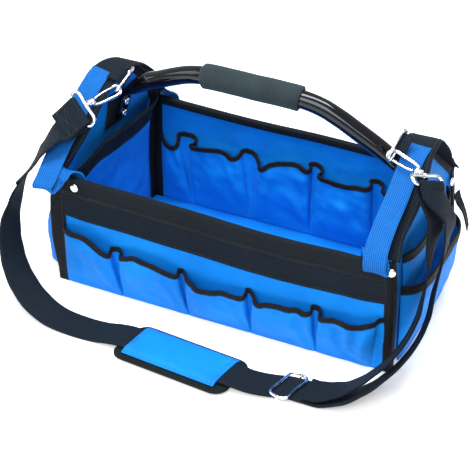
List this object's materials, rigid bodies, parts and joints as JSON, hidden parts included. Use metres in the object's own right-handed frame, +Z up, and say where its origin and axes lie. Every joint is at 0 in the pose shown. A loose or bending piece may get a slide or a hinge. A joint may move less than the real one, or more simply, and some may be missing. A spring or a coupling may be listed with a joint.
{
  "type": "open top tool tote",
  "caption": "Open top tool tote: blue cloth box with black webbing bands, pleated pockets inside and out, bowed tube handle with foam grip and a clip-on shoulder strap.",
  "frame": {"origin": "centre of the floor's underside", "axes": "+Z up, -Y towards the front pockets, +X towards the end with two stacked pockets"},
  "size_m": [0.5239, 0.3567, 0.2705],
  "materials": {
    "blue_cloth": "fine woven, soft sheen",
    "blue_webbing": "ribbed weave",
    "black_webbing": "ribbed weave",
    "black_tape": "woven binding",
    "black_tube": "gloss black coating",
    "foam": "matt, fine cells",
    "pad_cloth": "matt",
    "chrome": "bright plated"
  },
  "bodies": {
    "tote": {"body_shell": "blue_cloth", "front_band": "black_webbing", "back_band": "black_webbing", "binding_fl": "black_tape", "binding_fr": "black_tape", "binding_bl": "black_tape", "binding_br": "black_tape", "inner_tape_bl": "black_tape", "inner_tape_br": "black_tape", "arch_band_left": "black_webbing", "arch_band_right": "black_webbing", "front_pockets": "blue_cloth", "back_pockets": "blue_cloth", "front_pocket_tape": "black_tape", "back_pocket_tape": "black_tape", "right_low_pocket": "blue_cloth", "right_low_tape": "black_tape", "right_high_pocket": "blue_cloth", "right_high_tape": "black_tape", "left_outer_pocket": "blue_cloth", "left_outer_tape": "black_tape", "left_inner_pocket": "blue_cloth", "left_inner_tape": "black_tape", "side_web_lf": "blue_webbing", "side_web_rf": "blue_webbing", "side_web_lb": "blue_webbing", "side_web_rb": "blue_webbing", "tail_strap": "black_webbing", "handle_tube": "black_tube", "handle_grip": "foam", "handle_back_left": "black_tape", "handle_back_right": "black_tape", "rivet_lf": "chrome", "rivet_rf": "chrome", "rivet_lb": "chrome", "rivet_rb": "chrome", "handle_rivet_l1": "chrome", "handle_rivet_l2": "chrome", "handle_rivet_r1": "chrome", "handle_rivet_r2": "chrome", "d_ring_left": "chrome", "ring_tab_left": "black_webbing", "hook_left": "chrome", "loop_left": "chrome", "d_ring_right": "chrome", "ring_tab_right": "black_webbing", "hook_right": "chrome", "loop_right": "chrome", "strap_left": "black_webbing", "strap_right": "black_webbing", "slider": "chrome", "pad": "pad_cloth", "pad_patch": "blue_cloth"},
    "gate_left": {"gate_left": "chrome"},
    "gate_right": {"gate_right": "chrome"}
  },
  "joints": [
    {"name": "gate_left_hinge", "type": "hinge", "parent": "tote", "child": "gate_left", "pos_m": [-0.18104, -0.06223, 0.2224], "axis": [-0.6627, 0.3394, -0.6676], "range_deg": [0, 15], "stiffness_Nm_per_rad": 0.02, "springref_deg": -17.19},
    {"name": "gate_right_hinge", "type": "hinge", "parent": "tote", "child": "gate_right", "pos_m": [0.19902, -0.0439, 0.21724], "axis": [0.0459, 0.722, -0.6903], "range_deg": [0, 15], "stiffness_Nm_per_rad": 0.02, "springref_deg": -17.19}
  ]
}
